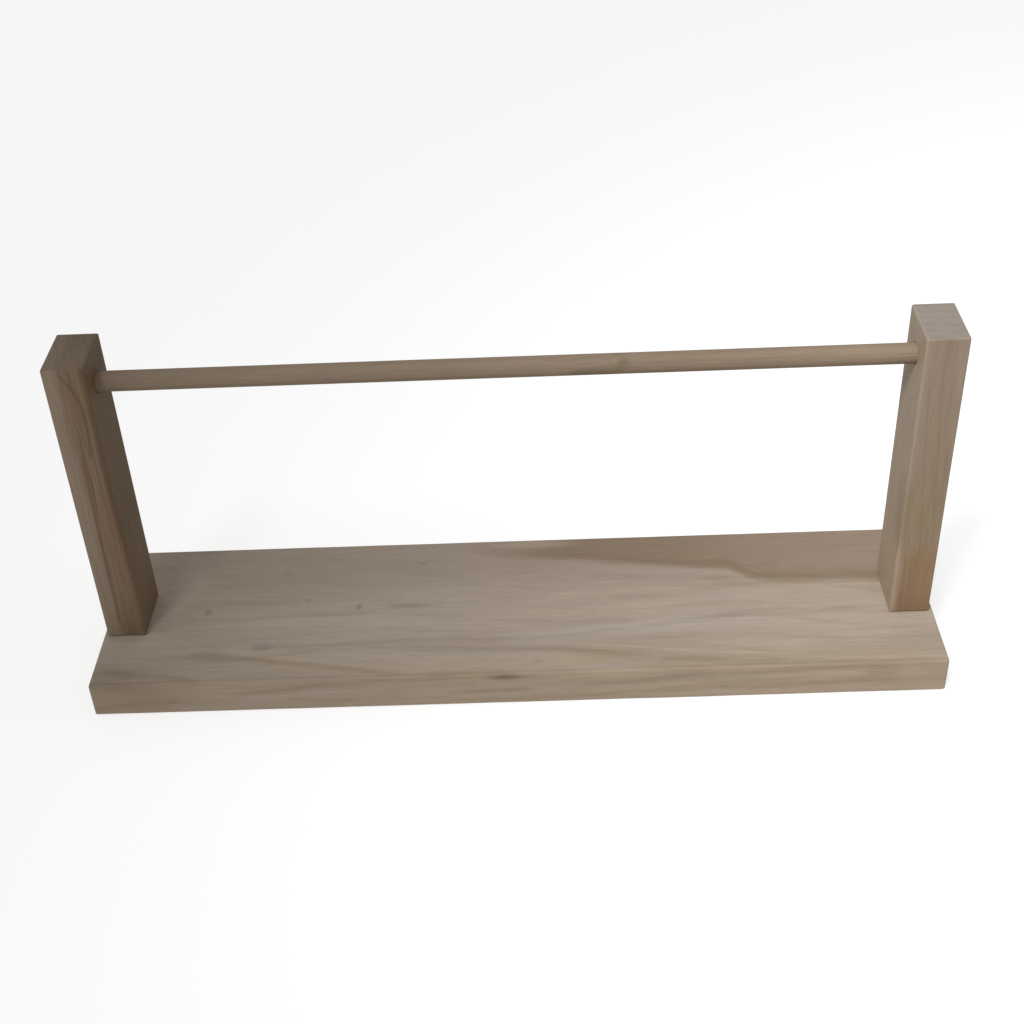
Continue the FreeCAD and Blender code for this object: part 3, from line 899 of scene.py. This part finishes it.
ROD_LEFT = 193.95
ROD_LENGTH, ROD_WIDTH, ROD_HALF = 394.25, 9.53, 4.76
ROD_PALE, ROD_DEEP, ROD_LINE = (0.262, 0.198, 0.141), (0.227, 0.166, 0.113), (0.164, 0.114, 0.072)
ROD_DARK = (0.140, 0.102, 0.060)
ROD_END, ROD_WORN, ROD_PORE = (0.230, 0.180, 0.132), (0.300, 0.240, 0.175), (0.120, 0.086, 0.056)

rod = poplar(
    "rod_dowel_wood", (0.0, 0.0, 0.0), (0.0, 0.0, -ROD_Z * TO_MM), (0.0, 9.0, 22.0), 1.7, 3.0,
    ROD_PALE, ROD_DEEP, ROD_LINE, 80.0,
)
rod_tree = rod["tree"]
rod_x, rod_y, rod_z = wire(rod_tree, "ShaderNodeSeparateXYZ", rod["place"]).outputs
rod_up = calc(rod_tree, "MULTIPLY_ADD", rod_z, 0.8, product(rod_tree, rod_y, 0.6))
rod_out = calc(rod_tree, "MULTIPLY_ADD", rod_y, -0.8, product(rod_tree, rod_z, 0.6))
rod_front = marked_face(
    rod, calc(rod_tree, "ADD", rod_x, ROD_LEFT), ROD_LENGTH, calc(rod_tree, "SUBTRACT", ROD_HALF, rod_up),
    ROD_WIDTH, rise(rod_tree, rod_out, 0.0, 1.4), 84.0,
)
rod["colour"] = draw(rod_front, rod["colour"], (
    (((220, 8.9), (230, 8.6), (240, 8.1), (250, 7.4)), 3, 3.8, 6, ROD_DARK, 0.58),
    (((240, 0.9), (245, 1.1), (250, 1.3)), 1.2, 1.2, 4, ROD_DARK, 0.3),
))
for centre, reach, colour, amount in (
    ((246.6, 5.1), (4.6, 3.2), ROD_DARK, 0.52),
    ((243.4, 4.1), (1.9, 1.5), HONEY, 0.16),
):
    rod["colour"] = speck(rod_front, rod["colour"], centre, reach, colour, amount)
rod_mesh.materials.append(finish_poplar(rod, ROD_END, ROD_WORN, ROD_PORE))
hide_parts("spool_rod")
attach(spool_rod, "rod")


# ---- Screws --------------------------------------------------------------------------------
# Four 1 1/2 inch countersunk wood screws of zinc-plated steel, driven up through the board
# into the ends of the posts. Their heads lie a little below the board's underside.

SCREW_SIDES = 32
SCREW_ROWS_COUNT = 300
SCREW_LENGTH = 38.1 * MM
SCREW_FACE = 0.8 * MM
SCREW_HEAD = 4.15 * MM
SCREW_SHANK = 2.085 * MM
SCREW_ROOT = 1.45 * MM
SCREW_TIP = 0.25 * MM
SCREW_RIM = 0.3 * MM
SCREW_SMOOTH = 14 * MM
SCREW_POINT = 4.5 * MM
SCREW_PITCH = 2.8 * MM
FACE_SHARE = 0.05
TIP_SHARE = 0.99
CREST_HALF, FLANK_END = 0.03, 0.25
DRIVE_SPAN = 4.6 * MM
DRIVE_SLOT = 1.1 * MM
DRIVE_DEPTH = 1.6 * MM
DRIVE_TAPER = 0.9
MERGE = 0.002 * MM


def screw_tree():
    """A countersunk wood screw standing on its head, and its places."""
    tree, given, result = geometry_tree("wood_screw", (
        ("Length", "Float"),
        ("Head radius", "Float"),
        ("Shank radius", "Float"),
        ("Root radius", "Float"),
        ("Pitch", "Float"),
        ("Smooth length", "Float"),
        ("Point length", "Float"),
        ("Spread", "Vector"),
        ("Drive span", "Float"),
        ("Drive slot", "Float"),
        ("Drive depth", "Float"),
        ("Seed", "Int"),
        ("Finish", "Material"),
    ))
    sheet = wire(tree, "GeometryNodeMeshGrid", 1.0, 1.0, SCREW_SIDES + 1, SCREW_ROWS_COUNT)
    here = wire(tree, "GeometryNodeInputPosition")
    across, along = wire(tree, "ShaderNodeSeparateXYZ", here).outputs[:2]
    turn = calc(tree, "ADD", across, 0.5)
    share = calc(tree, "ADD", along, 0.5)
    height = product(tree, span(tree, share, FACE_SHARE, TIP_SHARE), given["Length"])
    face_open = span(tree, share, 0.0, FACE_SHARE)
    closing = product(tree, face_open, span(tree, share, TIP_SHARE, 1.0, 1.0, 0.0))

    point_start = calc(tree, "SUBTRACT", given["Length"], given["Point length"])
    overhang = calc(tree, "SUBTRACT", given["Head radius"], given["Shank radius"])
    head_end = calc(tree, "ADD", calc(tree, "DIVIDE", overhang, HEAD_SLOPE), SCREW_RIM)
    head = span(tree, height, SCREW_RIM, head_end, given["Head radius"], given["Shank radius"])
    thread_start = calc(tree, "ADD", given["Smooth length"], given["Pitch"])
    core = span(tree, height, point_start, given["Length"], given["Root radius"], SCREW_TIP)
    smooth_end = calc(tree, "ADD", given["Smooth length"], SCREW_RIM)
    smooth = span(tree, height, given["Smooth length"], smooth_end, 1.0, 0.0)
    body = wire(tree, "ShaderNodeMix", smooth, None, core, head).outputs[0]
    phase = calc(tree, "FRACT", calc(tree, "SUBTRACT", calc(tree, "DIVIDE", height, given["Pitch"]), turn))
    off_crest = calc(tree, "ABSOLUTE", calc(tree, "SUBTRACT", phase, 0.5))
    ridge = span(tree, off_crest, CREST_HALF, FLANK_END, 1.0, 0.0)
    ridge = product(tree, ridge, span(tree, height, given["Smooth length"], thread_start))
    ridge = product(tree, ridge, span(tree, height, point_start, given["Length"], 1.0, 0.0))
    thread_depth = calc(tree, "SUBTRACT", given["Shank radius"], given["Root radius"])
    threaded = calc(tree, "MULTIPLY_ADD", ridge, thread_depth, core)
    radius = product(tree, calc(tree, "MAXIMUM", body, threaded), closing)
    angle = product(tree, turn, 2 * math.pi)
    place = wire(
        tree, "ShaderNodeCombineXYZ", product(tree, radius, calc(tree, "COSINE", angle)),
        product(tree, radius, calc(tree, "SINE", angle)), height,
    )
    wrapped = wire(tree, "GeometryNodeSetPosition", sheet, True, place)
    closed = wire(tree, "GeometryNodeMergeByDistance", wrapped, True, MERGE)

    deep = product(tree, given["Drive depth"], 2.0)
    wing = wire(tree, "ShaderNodeCombineXYZ", given["Drive span"], given["Drive slot"], deep)
    bar = wire(tree, "GeometryNodeMeshCube", wing, 2, 2, 2)
    up = wire(tree, "ShaderNodeSeparateXYZ", here).outputs[2]
    inward = product(tree, calc(tree, "DIVIDE", calc(tree, "ABSOLUTE", up), deep), DRIVE_TAPER)
    narrow = calc(tree, "SUBTRACT", 1.0, inward)
    flat = wire(tree, "ShaderNodeCombineXYZ", narrow, narrow, 1.0)
    top_only = calc(tree, "GREATER_THAN", up, 0.0)
    tapered = vector_calc(tree, "MULTIPLY", here, flat)
    slot = wire(tree, "GeometryNodeSetPosition", bar, top_only, tapered)
    other = wire(tree, "GeometryNodeTransform", slot)
    other.inputs["Rotation"].default_value = (0.0, 0.0, math.radians(90))
    socket = wire(
        tree, "GeometryNodeMeshCone", 8, 1, 1, product(tree, given["Drive slot"], 0.45),
        product(tree, given["Drive slot"], 1.35), product(tree, given["Drive depth"], 1.8),
    )
    sunk = wire(tree, "GeometryNodeTransform", socket)
    sunk.inputs["Translation"].default_value = (0.0, 0.0, -0.01 * MM)
    driven = wire(tree, "GeometryNodeMeshBoolean", closed, slot, operation="DIFFERENCE", solver="EXACT")
    for tool in (other, sunk):
        tree.links.new(tool.outputs[0], driven.inputs[1])

    spread = wire(tree, "ShaderNodeSeparateXYZ", given["Spread"]).outputs
    places = wire(tree, "GeometryNodeMeshGrid", spread[0], spread[1], 2, 2)
    lifted = wire(tree, "ShaderNodeCombineXYZ", 0.0, 0.0, spread[2])
    seating = wire(tree, "GeometryNodeTransform", places, lifted)
    full_turn = (0.0, 0.0, 2 * math.pi)
    turns = wire(tree, "FunctionNodeRandomValue", (0.0, 0.0, 0.0), full_turn, data_type="FLOAT_VECTOR")
    tree.links.new(given["Seed"], turns.inputs["Seed"])
    stood = wire(tree, "GeometryNodeInstanceOnPoints", seating, True, creased(tree, driven))
    tree.links.new(turns.outputs[0], stood.inputs["Rotation"])
    finish_tree(tree, stood, given["Finish"], result)
    return tree


ZINC_BRIGHT = (0.66, 0.65, 0.62)
ZINC_BLOOM = (0.50, 0.48, 0.43)
ZINC_GRIT = (0.30, 0.28, 0.25)

zinc = bpy.data.materials.new("zinc_plated_steel")
zinc.use_nodes = True
zinc_tree = zinc.node_tree
zinc_place = wire(
    zinc_tree, "ShaderNodeMapping", zinc_tree.nodes.new("ShaderNodeTexCoord").outputs["Object"], None, None,
    (TO_MM, TO_MM, TO_MM),
).outputs[0]
bloom = noise(zinc_tree, zinc_place, (2.2, 2.2, 2.2), 3.0, 90.0)
grit = noise(zinc_tree, zinc_place, (0.18, 0.18, 0.18), 2.0, 92.0)
zinc_colour = tint(zinc_tree, span(zinc_tree, bloom, 0.35, 0.65), ZINC_BRIGHT, ZINC_BLOOM)
zinc_colour = tint(zinc_tree, span(zinc_tree, grit, 0.62, 0.75, 0.0, 0.5), zinc_colour, ZINC_GRIT)
zinc_shader = zinc_tree.nodes["Principled BSDF"]
zinc_shader.inputs["Metallic"].default_value = 1.0
zinc_tree.links.new(zinc_colour, zinc_shader.inputs["Base Color"])
zinc_tree.links.new(span(zinc_tree, bloom, 0.3, 0.7, 0.3, 0.5), zinc_shader.inputs["Roughness"])
zinc_bump = wire(zinc_tree, "ShaderNodeBump", 0.4, 0.02 * MM, 0.1, grit)
zinc_tree.links.new(zinc_bump.outputs[0], zinc_shader.inputs["Normal"])

wood_screws = grown("wood_screws_zinc", screw_tree(), {
    "Length": SCREW_LENGTH,
    "Head radius": SCREW_HEAD,
    "Shank radius": SCREW_SHANK,
    "Root radius": SCREW_ROOT,
    "Pitch": SCREW_PITCH,
    "Smooth length": SCREW_SMOOTH,
    "Point length": SCREW_POINT,
    "Spread": (SCREW_ROWS[1] - SCREW_ROWS[0], SCREW_LINES[1] - SCREW_LINES[0], SCREW_FACE),
    "Drive span": DRIVE_SPAN,
    "Drive slot": DRIVE_SLOT,
    "Drive depth": DRIVE_DEPTH,
    "Seed": 6,
    "Finish": zinc,
})
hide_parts("left_front_screw", "left_back_screw", "right_front_screw", "right_back_screw")
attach(wood_screws, "root")


# ---- Stage ---------------------------------------------------------------------------------
# A plain pale floor, one large soft lamp at the upper front left that is turned towards the
# right-hand end, and an even pale surround. The camera stands in front and looks down.

WHITE = (1.0, 1.0, 1.0, 1.0)
FLOOR_HALF = 6.0
FLOOR_TONE = (0.45, 0.45, 0.45, 1.0)
FLOOR_ROUGHNESS = 0.9
FLOOR_DROP = 0.1 * MM
FLOOR_GLOW = 0.42
FLOOR_SEEN_GLOW = 0.70
SKY_LIGHT = 0.50
SKY_SEEN = 0.92
LAMP_PLACE = (-0.35, -0.85, 1.6)
LAMP_AIM = (0.45, 0.0, 0.05)
LAMP_SIZE = 0.55
LAMP_POWER = 1.75
LAMP_SPREAD = math.radians(35.5)

floor_corners = [
    (x * FLOOR_HALF, y * FLOOR_HALF, -FLOOR_DROP) for x, y in ((-1, -1), (1, -1), (1, 1), (-1, 1))
]
floor_mesh = bpy.data.meshes.new("floor")
floor_mesh.from_pydata(floor_corners, [], [(0, 1, 2, 3)])
floor = placed("floor", floor_mesh)
paper = bpy.data.materials.new("pale_paper")
paper.use_nodes = True
paper_tree = paper.node_tree
paper_shader = paper_tree.nodes["Principled BSDF"]
paper_shader.inputs["Base Color"].default_value = FLOOR_TONE
paper_shader.inputs["Roughness"].default_value = FLOOR_ROUGHNESS
paper_shader.inputs["Specular IOR Level"].default_value = 0.0
paper_shader.inputs["Emission Color"].default_value = WHITE
to_camera = wire(paper_tree, "ShaderNodeLightPath").outputs["Is Camera Ray"]
glow = span(paper_tree, to_camera, 0.0, 1.0, FLOOR_GLOW, FLOOR_SEEN_GLOW)
paper_tree.links.new(glow, paper_shader.inputs["Emission Strength"])
from_below = wire(paper_tree, "ShaderNodeNewGeometry").outputs["Backfacing"]
one_sided = wire(
    paper_tree, "ShaderNodeMixShader", from_below, paper_shader.outputs[0],
    wire(paper_tree, "ShaderNodeBsdfTransparent").outputs[0],
)
paper_tree.links.new(one_sided.outputs[0], paper_tree.nodes["Material Output"].inputs["Surface"])
paper.cycles.emission_sampling = "NONE"
floor_mesh.materials.append(paper)

world = bpy.data.worlds.new("surround")
world.use_nodes = True
sky = world.node_tree
seen = wire(sky, "ShaderNodeLightPath").outputs["Is Camera Ray"]
background = sky.nodes["Background"]
background.inputs["Color"].default_value = WHITE
sky.links.new(span(sky, seen, 0.0, 1.0, SKY_LIGHT, SKY_SEEN), background.inputs["Strength"])
bpy.context.scene.world = world
bpy.context.scene.view_settings.view_transform = "Standard"

lamp_light = bpy.data.lights.new("soft_lamp", "AREA")
lamp_light.shape = "DISK"
lamp_light.size = LAMP_SIZE
lamp_light.energy = LAMP_POWER
lamp_light.spread = LAMP_SPREAD
lamp = placed("soft_lamp", lamp_light)
lamp.matrix_world = Matrix.Translation(LAMP_PLACE) @ (
    (Vector(LAMP_AIM) - Vector(LAMP_PLACE)).to_track_quat("-Z", "Y").to_matrix().to_4x4()
)

CAMERA_PLACE = (0.0166621, -0.5816201, 0.5052658)
CAMERA_YAW, CAMERA_PITCH, CAMERA_ROLL = (math.radians(a) for a in (1.6047, -36.4515, 2.8268))
CAMERA_SENSOR = 36.0
CAMERA_FOCUS = 53.451

camera_lens = bpy.data.cameras.new("camera")
camera_lens.sensor_width = CAMERA_SENSOR
camera_lens.lens = CAMERA_FOCUS
camera = placed("camera", camera_lens)
camera.matrix_world = (
    Matrix.Translation(CAMERA_PLACE)
    @ Matrix.Rotation(CAMERA_YAW, 4, "Z")
    @ Matrix.Rotation(CAMERA_PITCH, 4, "X")
    @ Matrix.Rotation(CAMERA_ROLL, 4, "Y")
    @ Matrix.Rotation(math.radians(90), 4, "X")
)
bpy.context.scene.camera = camera
